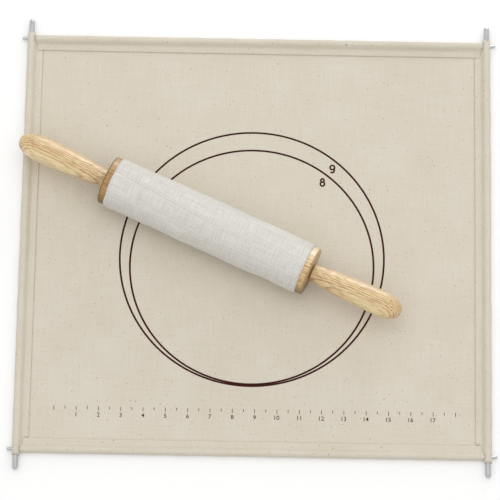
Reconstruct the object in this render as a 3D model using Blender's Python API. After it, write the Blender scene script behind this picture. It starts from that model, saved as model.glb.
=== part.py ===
"""Fabric pastry frame: a canvas pastry cloth whose four edges are sewn round metal rods that hold it taut, with a
revolving rolling pin in a cotton cover lying across it.

Metres, +Z up. The origin is on the table under the middle of the frame. The work is seen from -Y, with +X to the right.
"""

import math

import bmesh
import bpy
from mathutils import Matrix

MM = 0.001

# Fits: the air left between pieces that touch, and the slack round a shaft that turns inside a drilled hole.
TOUCH_GAP = 0.3 * MM
DRILLED_SLACK = 1.0 * MM

# Canvas: one cloth. Its side edges are casings for the side rods, its front and back hems are for the cross rods.
CANVAS_THICKNESS = 0.9 * MM
SEAM_ALLOWANCE = 10.0 * MM
SEAM_BEND_RADIUS = 0.9 * MM

# Frame: the width is over the casings, and the length is over the bare domed ends of the side rods.
FRAME_WIDTH = 544.0 * MM
SIDE_ROD_LENGTH = 543.0 * MM
SIDE_ROD_DIAMETER = 6.4 * MM
CASING_INSET = 17.0 * MM

# Cross rods: each tip goes through a hole drilled in a side rod, and a swaged shoulder bears on the casing there.
CROSS_ROD_DIAMETER = 4.0 * MM
CROSS_ROD_INSET = 24.0 * MM
CROSS_ROD_OVERHANG = 6.0 * MM
CROSS_ROD_TIP_RADIUS = 1.0 * MM
SHOULDER_DIAMETER = 6.0 * MM
SHOULDER_LENGTH = 4.0 * MM
SHOULDER_EDGE = 0.6 * MM

# Rolling pin: where its middle lies on the cloth, and how far its right end is turned towards the front.
PIN_X = -53.7 * MM
PIN_Y = 13.1 * MM
PIN_TURN = math.radians(-24.3)
ROLLER_DIAMETER = 57.0 * MM
ROLLER_LENGTH = 259.0 * MM
ROLLER_EDGE_RADIUS = 2.2 * MM
COVER_THICKNESS = 1.4 * MM
LEFT_BARE_BAND = 8.3 * MM
RIGHT_BARE_BAND = 7.6 * MM
AXLE_DIAMETER = 8.0 * MM
AXLE_END_CHAMFER = 0.8 * MM
BUSH_DIAMETER = 16.0 * MM
BUSH_LENGTH = 15.0 * MM
WASHER_THICKNESS = 0.8 * MM
HANDLE_LENGTH = 111.6 * MM
HANDLE_BELLY_DIAMETER = 30.0 * MM
HANDLE_NECK_DIAMETER = 20.3 * MM
HANDLE_NECK_EDGE = 0.8 * MM
HANDLE_NOSE_LENGTH = 30.0 * MM
HANDLE_BELLY_LENGTH = 8.0 * MM
HANDLE_BORE_DEPTH = 45.0 * MM

# Curve powers of the turned handle: 2 would be an ellipse at the nose, and 1 a straight cone at the neck.
NOSE_POWER = 2.4
NECK_POWER = 1.6

# One overrun for every cutter, and the merge distance for points that fall on an axis.
CUT_OVERRUN = 2.0 * MM
MERGE_DISTANCE = 0.001 * MM

# Facets: round a whole turn of each kind of piece, along each handle curve, and in each rounded corner.
ROLLER_FACETS = 64
HANDLE_FACETS = 40
SMALL_FACETS = 28
HANDLE_CURVE_STEPS = 11
CORNER_STEPS = 4
DOME_STEPS = 6
SMOOTH_ANGLE = math.radians(35.0)

# Heights that follow from the canvas and the side rods, and how far a ply's middle lies from the rod it wraps.
LOWER_PLY = CANVAS_THICKNESS / 2
FOLDED_PLY = CANVAS_THICKNESS + TOUCH_GAP + CANVAS_THICKNESS / 2
PLY_TO_ROD = TOUCH_GAP + CANVAS_THICKNESS / 2
ROD_HEIGHT = CANVAS_THICKNESS + TOUCH_GAP + SIDE_ROD_DIAMETER / 2

# Places in X and Y that follow from the frame's width and the side rods' length.
CASING_RADIUS = SIDE_ROD_DIAMETER / 2 + PLY_TO_ROD
SIDE_ROD_X = FRAME_WIDTH / 2 - CASING_RADIUS - CANVAS_THICKNESS / 2
CASING_INNER_X = SIDE_ROD_X - CASING_RADIUS
CASING_WALL_X = CASING_INNER_X - CANVAS_THICKNESS / 2
CASING_END_Y = SIDE_ROD_LENGTH / 2 - CASING_INSET
CROSS_ROD_Y = SIDE_ROD_LENGTH / 2 - CROSS_ROD_INSET
HEM_RADIUS = SHOULDER_DIAMETER / 2 + PLY_TO_ROD
HEM_INNER_Y = CROSS_ROD_Y - HEM_RADIUS
SEAM_INNER_X = CASING_INNER_X - SEAM_ALLOWANCE
SEAM_END_Y = HEM_INNER_Y - SEAM_ALLOWANCE - TOUCH_GAP

# Places along the rolling pin's axis, from the middle of its roller.
ROLLER_RADIUS = ROLLER_DIAMETER / 2
COVER_BORE_RADIUS = ROLLER_RADIUS + TOUCH_GAP
COVER_RADIUS = COVER_BORE_RADIUS + COVER_THICKNESS
ROLLER_END = ROLLER_LENGTH / 2
WASHER_START = ROLLER_END + TOUCH_GAP
HANDLE_START = WASHER_START + WASHER_THICKNESS + TOUCH_GAP
AXLE_END = HANDLE_START + HANDLE_BORE_DEPTH - TOUCH_GAP
PIN_HEIGHT = CANVAS_THICKNESS + TOUCH_GAP + COVER_RADIUS


def clear_scene():
    for thing in list(bpy.data.objects):
        bpy.data.objects.remove(thing, do_unlink=True)


def finish(name, colour, roughness, metallic=0.0):
    """A Principled material of one colour, given as linear red, green and blue."""
    material = bpy.data.materials.new(name)
    material.use_nodes = True
    shader = material.node_tree.nodes["Principled BSDF"]
    shader.inputs["Base Color"].default_value = (*colour, 1.0)
    shader.inputs["Roughness"].default_value = roughness
    shader.inputs["Metallic"].default_value = metallic
    return material


def keep(name, shape, material, parent=None):
    """Turns a bmesh into a named object with smooth round faces and sharp edges."""
    bmesh.ops.recalc_face_normals(shape, faces=shape.faces)
    mesh = bpy.data.meshes.new(name)
    shape.to_mesh(mesh)
    shape.free()
    mesh.shade_smooth()
    mesh.set_sharp_from_angle(angle=SMOOTH_ANGLE)
    mesh.materials.append(material)
    thing = bpy.data.objects.new(name, mesh)
    thing.parent = parent
    bpy.context.scene.collection.objects.link(thing)
    return thing


def axis_empty(name, place, turn=0.0, parent=None):
    """An empty on a joint's axis, which the pieces that move on that joint hang from."""
    empty = bpy.data.objects.new(name, None)
    empty.location = place
    empty.rotation_euler = (0.0, 0.0, turn)
    empty.parent = parent
    bpy.context.scene.collection.objects.link(empty)
    return empty


def box(low, high):
    """A rectangular block between two corners."""
    shape = bmesh.new()
    bmesh.ops.create_cube(shape, size=1.0)
    size = [b - a for a, b in zip(low, high)]
    middle = [(a + b) / 2 for a, b in zip(low, high)]
    bmesh.ops.transform(shape, matrix=Matrix.LocRotScale(middle, None, size), verts=shape.verts)
    return shape


def turned(outline, facets, closed=False):
    """Spins an outline of (place along X, radius) points round the X axis. A closed outline makes a ring."""
    shape = bmesh.new()
    points = [shape.verts.new((along, 0.0, radius)) for along, radius in outline]
    pairs = list(zip(points, points[1:]))
    if closed:
        pairs.append((points[-1], points[0]))
    edges = [shape.edges.new(pair) for pair in pairs]
    bmesh.ops.spin(
        shape,
        geom=points + edges,
        axis=(1.0, 0.0, 0.0),
        cent=(0.0, 0.0, 0.0),
        angle=math.tau,
        steps=facets,
        use_merge=True,
    )
    bmesh.ops.remove_doubles(shape, verts=shape.verts, dist=MERGE_DISTANCE)
    return shape


def mirrored_along(outline, side):
    """Turns an outline round to the other end of the pin when side is -1."""
    return [(side * along, radius) for along, radius in outline]


def rounded(corners, radius):
    """A path through the corners, each inner corner replaced by an arc that is tangent to both of its sides."""
    path = [corners[0]]
    for before, corner, after in zip(corners, corners[1:], corners[2:]):
        arrive = [a - b for a, b in zip(before, corner)]
        leave = [a - b for a, b in zip(after, corner)]
        arrive = [part / math.hypot(*arrive) for part in arrive]
        leave = [part / math.hypot(*leave) for part in leave]
        centre = [c + radius * (a + b) for c, a, b in zip(corner, arrive, leave)]
        for step in range(CORNER_STEPS + 1):
            angle = math.pi / 2 * step / CORNER_STEPS
            point = [
                c - radius * (a * math.sin(angle) + b * math.cos(angle))
                for c, a, b in zip(centre, arrive, leave)
            ]
            if math.dist(point, path[-1]) > MERGE_DISTANCE:
                path.append(tuple(point))
    path.append(corners[-1])
    return path


def folded_canvas(name, path, along, material):
    """Canvas of even thickness that follows a path and runs straight. along maps (path point, end) to X, Y, Z."""
    shape = bmesh.new()
    first = [shape.verts.new(along(point, -1)) for point in path]
    last = [shape.verts.new(along(point, 1)) for point in path]
    for i in range(len(path) - 1):
        shape.faces.new((first[i], first[i + 1], last[i + 1], last[i]))
    thing = keep(name, shape, material)
    wall = thing.modifiers.new("canvas thickness", "SOLIDIFY")
    wall.thickness = CANVAS_THICKNESS
    wall.offset = 0.0
    wall.use_even_offset = True
    return thing


def hidden_cutter(name, shape, material):
    cutter = keep(name, shape, material)
    cutter.hide_render = True
    cutter.display_type = "WIRE"
    return cutter


def rod_hole(name, x, y, material):
    """A cutter for the hole that a cross rod's tip needs through a side rod and both walls of its casing."""
    reach = CASING_RADIUS + CUT_OVERRUN
    radius = CROSS_ROD_DIAMETER / 2 + TOUCH_GAP
    shape = turned([(-reach, 0.0), (-reach, radius), (reach, radius), (reach, 0.0)], SMALL_FACETS)
    bmesh.ops.translate(shape, verts=shape.verts, vec=(x, y, ROD_HEIGHT))
    return hidden_cutter(name, shape, material)


def seam_trim(name, side, end, material):
    """A cutter that ends the casing's seam where the front or back hem begins."""
    across = (side * (SEAM_INNER_X - CUT_OVERRUN), side * (CASING_WALL_X - TOUCH_GAP / 2))
    along = (end * SEAM_END_Y, end * (CASING_END_Y + CUT_OVERRUN))
    shape = box(
        (min(across), min(along), CANVAS_THICKNESS + TOUCH_GAP / 2),
        (max(across), max(along), FOLDED_PLY + CANVAS_THICKNESS / 2 + CUT_OVERRUN),
    )
    return hidden_cutter(name, shape, material)


def cut(thing, cutter):
    modifier = thing.modifiers.new(cutter.name, "BOOLEAN")
    modifier.operation = "DIFFERENCE"
    modifier.object = cutter


def side_rod(name, side, material):
    """A metal rod with domed ends, drilled for a cross rod near each end."""
    radius = SIDE_ROD_DIAMETER / 2
    dome = [
        (
            SIDE_ROD_LENGTH / 2 - radius * (1 - math.sin(math.pi / 2 * step / DOME_STEPS)),
            radius * math.cos(math.pi / 2 * step / DOME_STEPS),
        )
        for step in range(DOME_STEPS)
    ]
    half = dome + [(SIDE_ROD_LENGTH / 2, 0.0)]
    shape = turned(mirrored_along(reversed(half), -1) + half, SMALL_FACETS)
    bmesh.ops.rotate(shape, verts=shape.verts, matrix=Matrix.Rotation(math.pi / 2, 3, "Z"))
    bmesh.ops.translate(shape, verts=shape.verts, vec=(side * SIDE_ROD_X, 0.0, ROD_HEIGHT))
    return keep(name, shape, material)


def wrapped_path(inner, radius, height):
    """A ply's middle line: flat under a rod, round and over it, and down again. Ends above the cloth."""
    return rounded(
        [
            (inner, LOWER_PLY),
            (inner + 2 * radius, LOWER_PLY),
            (inner + 2 * radius, height + radius),
            (inner, height + radius),
            (inner, FOLDED_PLY + SEAM_BEND_RADIUS),
        ],
        radius,
    )


def seam_path(inner):
    """A ply's middle line where it turns out onto the cloth, to be sewn down."""
    return rounded(
        [
            (inner, FOLDED_PLY + SEAM_BEND_RADIUS),
            (inner, FOLDED_PLY),
            (inner - SEAM_ALLOWANCE, FOLDED_PLY),
        ],
        SEAM_BEND_RADIUS,
    )


def side_casing(name, side, material):
    """The cloth's side edge, wrapped round its rod and sewn down onto the cloth."""
    path = wrapped_path(CASING_INNER_X, CASING_RADIUS, ROD_HEIGHT) + seam_path(CASING_INNER_X)[1:]
    casing = folded_canvas(name, path, lambda point, end: (side * point[0], end * CASING_END_Y, point[1]), material)
    for label, end in (("front", -1), ("back", 1)):
        cut(casing, seam_trim(name + "_" + label + "_trim", side, end, material))
    return casing


def cloth_hem(name, side, material):
    """The cloth's front or back edge, wrapped loosely round its cross rod and sewn down onto the cloth."""
    path = wrapped_path(HEM_INNER_Y, HEM_RADIUS, ROD_HEIGHT) + seam_path(HEM_INNER_Y)[1:]
    half_width = CASING_WALL_X - TOUCH_GAP
    return folded_canvas(name, path, lambda point, end: (end * half_width, side * point[0], point[1]), material)


def canvas_cloth(material):
    half_width = CASING_INNER_X - TOUCH_GAP
    half_depth = HEM_INNER_Y - TOUCH_GAP
    return keep(
        "canvas_cloth",
        box((-half_width, -half_depth, 0.0), (half_width, half_depth, CANVAS_THICKNESS)),
        material,
    )


def cross_rod(name, y, material):
    """A steel rod with rounded tips and a swaged shoulder just inside each side casing."""
    tip = FRAME_WIDTH / 2 + CROSS_ROD_OVERHANG
    radius = CROSS_ROD_DIAMETER / 2
    shoulder_out = CASING_WALL_X - TOUCH_GAP
    shoulder_in = shoulder_out - SHOULDER_LENGTH
    half = [
        (shoulder_in, radius),
        (shoulder_in + SHOULDER_EDGE, SHOULDER_DIAMETER / 2),
        (shoulder_out - SHOULDER_EDGE, SHOULDER_DIAMETER / 2),
        (shoulder_out, radius),
        (tip - CROSS_ROD_TIP_RADIUS, radius),
        (tip, radius - CROSS_ROD_TIP_RADIUS),
        (tip, 0.0),
    ]
    shape = turned(mirrored_along(reversed(half), -1) + half, SMALL_FACETS)
    bmesh.ops.translate(shape, verts=shape.verts, vec=(0.0, y, ROD_HEIGHT))
    return keep(name, shape, material)


def corner_arc(along, radius, size, side):
    """Points round a convex edge at the end of a turned piece, from its side to its end face."""
    return [
        (
            along - side * size * (1 - math.sin(math.pi / 2 * step / CORNER_STEPS)),
            radius - size * (1 - math.cos(math.pi / 2 * step / CORNER_STEPS)),
        )
        for step in range(CORNER_STEPS + 1)
    ]


def roller(material, parent):
    """The wooden barrel: rounded ends, a bush pocket at each end and a drilled hole for the axle."""
    pocket_radius = BUSH_DIAMETER / 2 + TOUCH_GAP
    pocket_floor = ROLLER_END - BUSH_LENGTH - TOUCH_GAP
    hole_radius = AXLE_DIAMETER / 2 + DRILLED_SLACK
    right_half = corner_arc(ROLLER_END, ROLLER_RADIUS, ROLLER_EDGE_RADIUS, 1) + [
        (ROLLER_END, pocket_radius),
        (pocket_floor, pocket_radius),
        (pocket_floor, hole_radius),
    ]
    outline = right_half + mirrored_along(reversed(right_half), -1)
    return keep("roller", turned(outline, ROLLER_FACETS, closed=True), material, parent)


def roller_cover(material, parent):
    """The cotton sleeve, which leaves a band of bare wood at each end of the roller."""
    left = -ROLLER_END + LEFT_BARE_BAND
    right = ROLLER_END - RIGHT_BARE_BAND
    outline = [
        (left, COVER_BORE_RADIUS),
        (left, COVER_RADIUS),
        (right, COVER_RADIUS),
        (right, COVER_BORE_RADIUS),
    ]
    return keep("roller_cover", turned(outline, ROLLER_FACETS, closed=True), material, parent)


def ring(name, start, end, outer_radius, side, material, parent):
    """A plain ring round the axle, such as a bush or a washer."""
    inner_radius = AXLE_DIAMETER / 2 + TOUCH_GAP
    outline = [(start, inner_radius), (start, outer_radius), (end, outer_radius), (end, inner_radius)]
    return keep(name, turned(mirrored_along(outline, side), SMALL_FACETS, closed=True), material, parent)


def axle(material, parent):
    radius = AXLE_DIAMETER / 2
    outline = [
        (-AXLE_END, 0.0),
        (-AXLE_END, radius - AXLE_END_CHAMFER),
        (-AXLE_END + AXLE_END_CHAMFER, radius),
        (AXLE_END - AXLE_END_CHAMFER, radius),
        (AXLE_END, radius - AXLE_END_CHAMFER),
        (AXLE_END, 0.0),
    ]
    return keep("axle", turned(outline, SMALL_FACETS), material, parent)


def handle_outline():
    """A turned grip from its bore, out over the neck and the belly, to a rounded nose on the axis."""
    bore_radius = AXLE_DIAMETER / 2 + TOUCH_GAP
    bore_floor = HANDLE_START + HANDLE_BORE_DEPTH
    belly = HANDLE_BELLY_DIAMETER / 2
    neck = HANDLE_NECK_DIAMETER / 2
    tip = HANDLE_START + HANDLE_LENGTH
    nose_start = tip - HANDLE_NOSE_LENGTH
    belly_start = nose_start - HANDLE_BELLY_LENGTH
    neck_start = HANDLE_START + HANDLE_NECK_EDGE
    outline = [
        (bore_floor, 0.0),
        (bore_floor, bore_radius),
        (HANDLE_START, bore_radius),
        (HANDLE_START, neck - HANDLE_NECK_EDGE),
    ]
    for step in range(HANDLE_CURVE_STEPS + 1):
        share = 1 - step / HANDLE_CURVE_STEPS
        along = belly_start - (belly_start - neck_start) * share
        outline.append((along, belly - (belly - neck) * share**NECK_POWER))
    for step in range(HANDLE_CURVE_STEPS + 1):
        share = math.sin(math.pi / 2 * step / HANDLE_CURVE_STEPS)
        along = nose_start + HANDLE_NOSE_LENGTH * share
        outline.append((along, belly * (1 - share**NOSE_POWER) ** (1 / NOSE_POWER)))
    return outline


def build_frame(canvas, rod_steel):
    canvas_cloth(canvas)
    for label, side in (("left", -1), ("right", 1)):
        rod = side_rod(label + "_side_rod", side, rod_steel)
        casing = side_casing(label + "_casing", side, canvas)
        for place, end in (("front", -1), ("back", 1)):
            hole = rod_hole(label + "_" + place + "_hole", side * SIDE_ROD_X, end * CROSS_ROD_Y, rod_steel)
            cut(rod, hole)
            cut(casing, hole)
    for label, side in (("front", -1), ("back", 1)):
        cloth_hem(label + "_hem", side, canvas)
        cross_rod(label + "_cross_rod", side * CROSS_ROD_Y, rod_steel)


def build_pin(roller_wood, handle_wood, cover_cotton, axle_steel, nylon):
    """Everything on the rolling pin's axis, along the local X of two empties: one that lifts and one that spins."""
    lift = axis_empty("pin_lift_axis", (PIN_X, PIN_Y, PIN_HEIGHT), PIN_TURN)
    spin = axis_empty("roller_spin_axis", (0.0, 0.0, 0.0), parent=lift)
    roller(roller_wood, spin)
    roller_cover(cover_cotton, spin)
    axle(axle_steel, lift)
    for label, side in (("left", -1), ("right", 1)):
        ring(label + "_bush", ROLLER_END - BUSH_LENGTH, ROLLER_END, BUSH_DIAMETER / 2, side, nylon, spin)
        washer_end = WASHER_START + WASHER_THICKNESS
        ring(label + "_washer", WASHER_START, washer_end, BUSH_DIAMETER / 2, side, nylon, lift)
        grip = turned(mirrored_along(handle_outline(), side), HANDLE_FACETS)
        keep(label + "_handle", grip, handle_wood, lift)


def main():
    clear_scene()
    build_frame(
        canvas=finish("natural_canvas", (0.73, 0.68, 0.58), 0.95),
        rod_steel=finish("zinc_plated_steel", (0.60, 0.61, 0.62), 0.32, 1.0),
    )
    build_pin(
        roller_wood=finish("turned_roller_wood", (0.50, 0.33, 0.16), 0.50),
        handle_wood=finish("turned_handle_wood", (0.68, 0.49, 0.27), 0.45),
        cover_cotton=finish("knitted_cotton", (0.69, 0.67, 0.61), 0.97),
        axle_steel=finish("bright_steel", (0.55, 0.56, 0.57), 0.30, 1.0),
        nylon=finish("brown_nylon", (0.107, 0.059, 0.033), 0.40),
    )


main()
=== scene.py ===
# %% [markdown]
# # A pastry cloth on its rod frame, with a covered rolling pin
#
# The object is a square of natural cotton canvas for rolling out dough. Its edges are sewn round metal rods, so it
# lies flat and tight on a table. Circles printed on it show how wide the dough must be for a pie, and a ruler runs
# along the front. A wooden rolling pin with handles that stay still lies across it, in a cotton sleeve that holds
# flour.
#
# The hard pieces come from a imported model, made earlier at true size. This script dresses that model: it gives the
# rods, the wood and the nylon their finishes, and it sews a softer cloth and sleeve in place of the stiff ones.

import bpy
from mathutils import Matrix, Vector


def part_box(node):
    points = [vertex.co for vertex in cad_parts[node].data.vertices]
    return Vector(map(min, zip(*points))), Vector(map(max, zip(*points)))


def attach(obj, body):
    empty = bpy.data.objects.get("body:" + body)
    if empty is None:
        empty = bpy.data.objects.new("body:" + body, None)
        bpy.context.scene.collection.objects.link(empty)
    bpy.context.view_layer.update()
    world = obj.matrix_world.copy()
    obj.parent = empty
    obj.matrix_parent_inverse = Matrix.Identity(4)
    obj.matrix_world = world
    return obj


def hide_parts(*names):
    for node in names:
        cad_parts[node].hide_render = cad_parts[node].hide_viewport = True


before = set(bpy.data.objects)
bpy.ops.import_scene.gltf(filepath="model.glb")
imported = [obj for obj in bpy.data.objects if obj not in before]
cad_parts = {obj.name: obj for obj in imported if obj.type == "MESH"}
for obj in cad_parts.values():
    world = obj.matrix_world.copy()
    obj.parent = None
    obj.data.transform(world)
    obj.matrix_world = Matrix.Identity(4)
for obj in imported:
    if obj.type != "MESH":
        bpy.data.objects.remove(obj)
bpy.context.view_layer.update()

# %% Everything else that the script uses
import math
import random

import bmesh
import bpy
from mathutils import Matrix, Quaternion, Vector, noise
from mathutils.geometry import interpolate_bezier

MM = 0.001

# %% [markdown]
# ## Sizes
#
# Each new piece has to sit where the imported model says. So places and sizes, such as how thick the cloth is, are
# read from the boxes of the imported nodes. The few that a box can't tell, such as how far the pin is turned, are
# written out.

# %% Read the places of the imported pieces
def middle(node):
    """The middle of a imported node's box."""
    low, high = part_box(node)
    return (low + high) / 2


def size(node):
    """How wide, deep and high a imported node's box is."""
    low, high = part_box(node)
    return high - low


CANVAS = size("canvas_cloth").z  # how thick the cloth is
PLY_GAP = 0.3 * MM  # between the cloth and a flap that is sewn down on it
CLOTH_HALF_X = size("canvas_cloth").x / 2
CLOTH_HALF_Y = size("canvas_cloth").y / 2
SIDE_ROD_X = middle("right_side_rod").x
CROSS_ROD_Y = middle("back_cross_rod").y
CASING_HALF_Y = size("right_casing").y / 2
HEM_HALF_X = size("back_hem").x / 2
SEAM_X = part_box("right_casing")[0].x
SEAM_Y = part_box("back_hem")[0].y
CASING_SEAM_HALF_Y = SEAM_Y - PLY_GAP
PIN = middle("axle")
PIN_TURN = math.radians(-24.3)  # from lying along the front edge
PIN_AXIS = Vector((math.cos(PIN_TURN), math.sin(PIN_TURN), 0.0))
print("canvas", round(CANVAS / MM, 2), "mm thick")
print("rods at x", round(SIDE_ROD_X / MM, 1), "and y", round(CROSS_ROD_Y / MM, 1), "mm")

# %% [markdown]
# ## Helpers for materials and pieces
#
# Colours are easiest to pick as the hex values of a paint program, but a shader counts light, so one function turns
# them to linear values. One more function adds a node with its settings and its links, which keeps each material
# short enough to read as a recipe. Sockets without a name of their own go by number: a Map Range has its value at 0,
# the range it comes from at 1 and 2 and the range it goes to at 3 and 4, and a Mix of colours has its share at 0 and
# its colours at 6 and 7.

# %% Colours and nodes
def linear(hex_colour):
    """An sRGB hex colour as linear red, green and blue, with alpha 1."""
    channels = [int(hex_colour[i : i + 2], 16) / 255 for i in (0, 2, 4)]
    return [c / 12.92 if c <= 0.04045 else ((c + 0.055) / 1.055) ** 2.4 for c in channels] + [1.0]


def add(material, kind, inputs=None, **settings):
    """Adds a node. kind is its type's name after ShaderNode.

    inputs maps a socket's name or number to a value, or to the socket that feeds it.
    """
    node = material.node_tree.nodes.new("ShaderNode" + kind)
    for name, value in settings.items():
        setattr(node, name, value)
    for key, value in (inputs or {}).items():
        if isinstance(value, bpy.types.NodeSocket):
            material.node_tree.links.new(value, node.inputs[key])
        else:
            node.inputs[key].default_value = value
    return node


def start_material(name, constants):
    """A new material and its Principled shader, with the shader's plain values set on its own sockets."""
    material = bpy.data.materials.new(name)
    material.use_nodes = True
    shader = material.node_tree.nodes["Principled BSDF"]
    for socket, value in constants.items():
        shader.inputs[socket].default_value = value
    print("material", name)
    return material, shader


def feed(material, shader, colour, bump, roughness=None):
    """Links what the nodes worked out to the shader."""
    for socket, source in (("Base Color", colour), ("Roughness", roughness), ("Normal", bump)):
        if source is not None:
            material.node_tree.links.new(source, shader.inputs[socket])


# %% Pieces
def make_piece(name, shape, material, body):
    """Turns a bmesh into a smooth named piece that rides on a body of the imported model."""
    mesh = bpy.data.meshes.new(name)
    shape.to_mesh(mesh)
    shape.free()
    mesh.shade_smooth()
    mesh.materials.append(material)
    piece = bpy.data.objects.new(name, mesh)
    bpy.context.scene.collection.objects.link(piece)
    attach(piece, body)
    print(name, "has", len(mesh.polygons), "faces")
    return piece


def give_thickness(piece, thickness, offset, even=True):
    """Thickens a sheet. Even keeps the thickness round bends; thin films with sharp outlines do without it."""
    wall = piece.modifiers.new("thickness", "SOLIDIFY")
    wall.thickness = thickness
    wall.offset = offset
    wall.use_even_offset = even
    return piece


# %% [markdown]
# ## The lie of the cloth
#
# Canvas held by rods is nearly flat, but never quite. It stands off the table a little in long low waves, it draws
# small ripples in from its seams, and it shows drag lines that run out of the corners, where the rods pull hardest.
# A simulation could find such a surface, but the waves are under a millimetre high, so a sum of simple waves gives
# the same look, and every other piece on the cloth can ask the same function how high it has to lie. The pin's
# weight presses the cloth flat under it, all along the strip that the sleeve slides over when it is pulled off.

# %% How far the cloth stands off the table
WAVE_HEIGHT, WAVE_LENGTH = 0.75 * MM, 120 * MM
SEAM_RIPPLE_HEIGHT, SEAM_RIPPLE_LENGTH, SEAM_RIPPLE_REACH = 0.42 * MM, 15 * MM, 22 * MM
SEAM_RIPPLE_DRIFT = 9  # how fast a ripple changes on its way in from the seam, per metre
DRAG_HEIGHT, DRAG_REACH, DRAG_LINES = 0.42 * MM, 55 * MM, 13
EDGE_FADE = 7 * MM
PRESSED_NEAR, PRESSED_FAR = 14 * MM, 70 * MM
# Where the sleeve's ends get to, from the pin's middle, when it is pulled as far as it goes, and a little more.
SLEEVE_REACHES = (-216 * MM, 326 * MM)


def smooth_step(low, high, value):
    """0 up to low, 1 from high on, and a smooth change between. It runs downwards where low is the larger."""
    share = min(max((value - low) / (high - low), 0.0), 1.0)
    return share * share * (3 - 2 * share)


def rise(x, y, seed):
    """A smooth wave between 0 and 1. Each seed gives another one."""
    return 0.5 + 0.5 * noise.noise(Vector((x, y, seed)))


def from_pin(x, y):
    """How far a place on the cloth is from the strip that the sleeve rests on or is pulled over."""
    offset = Vector((x - PIN.x, y - PIN.y, 0.0))
    along = offset.dot(PIN_AXIS)
    beyond = max(0.0, along - SLEEVE_REACHES[1], SLEEVE_REACHES[0] - along)
    return math.hypot(offset.cross(PIN_AXIS).length, beyond)


def lie(x, y):
    """The height of the cloth's underside over the table at a place, in metres."""
    to_side, to_front = CLOTH_HALF_X - abs(x), CLOTH_HALF_Y - abs(y)
    wave = WAVE_HEIGHT * rise(x / WAVE_LENGTH, y / WAVE_LENGTH, 3.7)
    ripple = 0.0
    for along, inwards, beside, seed in ((y, x, to_side, 11.0), (x, y, to_front, 23.0)):
        shape = rise(along / SEAM_RIPPLE_LENGTH, inwards * SEAM_RIPPLE_DRIFT, seed)
        ripple += SEAM_RIPPLE_HEIGHT * shape * math.exp(-max(beside, 0.0) / SEAM_RIPPLE_REACH)
    reach = math.hypot(to_side, to_front)
    corner = 2.0 * math.copysign(1, x) + math.copysign(1, y)  # no two corners have the same lines
    lines = 0.5 + 0.5 * math.sin(DRAG_LINES * math.atan2(to_side, to_front) + corner)
    drag = DRAG_HEIGHT * lines * (reach / DRAG_REACH) * math.exp(1 - reach / DRAG_REACH)
    edge = smooth_step(0.0, EDGE_FADE, to_side) * smooth_step(0.0, EDGE_FADE, to_front)
    return (wave + ripple + drag) * edge * smooth_step(PRESSED_NEAR, PRESSED_FAR, from_pin(x, y))


print("the cloth's middle lies", round(lie(0.15, -0.1) / MM, 2), "mm off the table")

# %% [markdown]
# ## Natural cotton canvas
#
# Natural canvas is a plain weave of undyed cotton: each thread goes over one and under the next. Undyed cotton is a
# warm pale cream. No two threads are quite as thick or as dark, so the cloth has faint streaks along both directions,
# and small brown flecks of seed husk are spun into it. Cotton has no shine, only a soft bloom at a low angle, which
# the sheen gives.
#
# The pattern has to follow the cloth round the rods, so it isn't drawn in space but on a UV map. That map holds each
# point's place on the flat cut of cloth, in metres, and a thread's pitch can be written straight in millimetres. The
# weave itself is finer than a pixel of the picture from above, so the slubs are drawn wider than real ones, about
# 1.5 mm, to show.

# %% Canvas
THREAD_PITCH = 0.62 * MM
SLUB_WIDTH, SLUB_LENGTH = 1.5 * MM, 38 * MM
PATCH_SIZE, HUSK_SIZE = 70 * MM, 2.6 * MM

canvas, canvas_shader = start_material(
    "plain_weave_cotton_canvas",
    {"Roughness": 0.92, "IOR": 1.47, "Sheen Weight": 0.12, "Sheen Roughness": 0.5},
)
place = add(canvas, "UVMap", uv_map="flat_cut").outputs["UV"]
split = add(canvas, "SeparateXYZ", {0: place}).outputs
threads, slubs = [], []
for across, scale in (("X", (1 / SLUB_WIDTH, 1 / SLUB_LENGTH, 1)), ("Y", (1 / SLUB_LENGTH, 1 / SLUB_WIDTH, 1))):
    turn = add(canvas, "Math", {0: split[across], 1: math.pi / THREAD_PITCH}, operation="MULTIPLY")
    threads.append(add(canvas, "Math", {0: turn.outputs[0]}, operation="SINE").outputs[0])
    stretched = add(canvas, "Mapping", {"Vector": place, "Scale": scale})
    slub = add(canvas, "TexNoise", {"Vector": stretched.outputs[0], "Scale": 1.0, "Detail": 2.0})
    slubs.append(slub.outputs["Fac"])
crossing = add(canvas, "Math", {0: threads[0], 1: threads[1]}, operation="MULTIPLY")
both_slubs = add(canvas, "Math", {0: slubs[0], 1: slubs[1]}, operation="ADD")
patches = add(canvas, "TexNoise", {"Vector": place, "Scale": 1 / PATCH_SIZE, "Detail": 3.0})
tone = add(canvas, "Math", {0: both_slubs.outputs[0], 1: patches.outputs["Fac"]}, operation="ADD")
tone = add(canvas, "MapRange", {0: tone.outputs[0], 1: 0.95, 2: 2.05})
thread_colour = add(canvas, "Mix", {0: tone.outputs[0], 6: linear("DAD1BF"), 7: linear("E6DFD1")}, data_type="RGBA")

# Only the highest peaks of a fine noise become a fleck of husk.
husks = add(canvas, "TexNoise", {"Vector": place, "Scale": 1 / HUSK_SIZE, "Detail": 1.0})
husks = add(canvas, "MapRange", {0: husks.outputs["Fac"], 1: 0.705, 2: 0.75, 4: 0.7})
flecked = add(
    canvas,
    "Mix",
    {0: husks.outputs[0], 6: thread_colour.outputs[2], 7: linear("937C5B")},
    data_type="RGBA",
)

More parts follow.
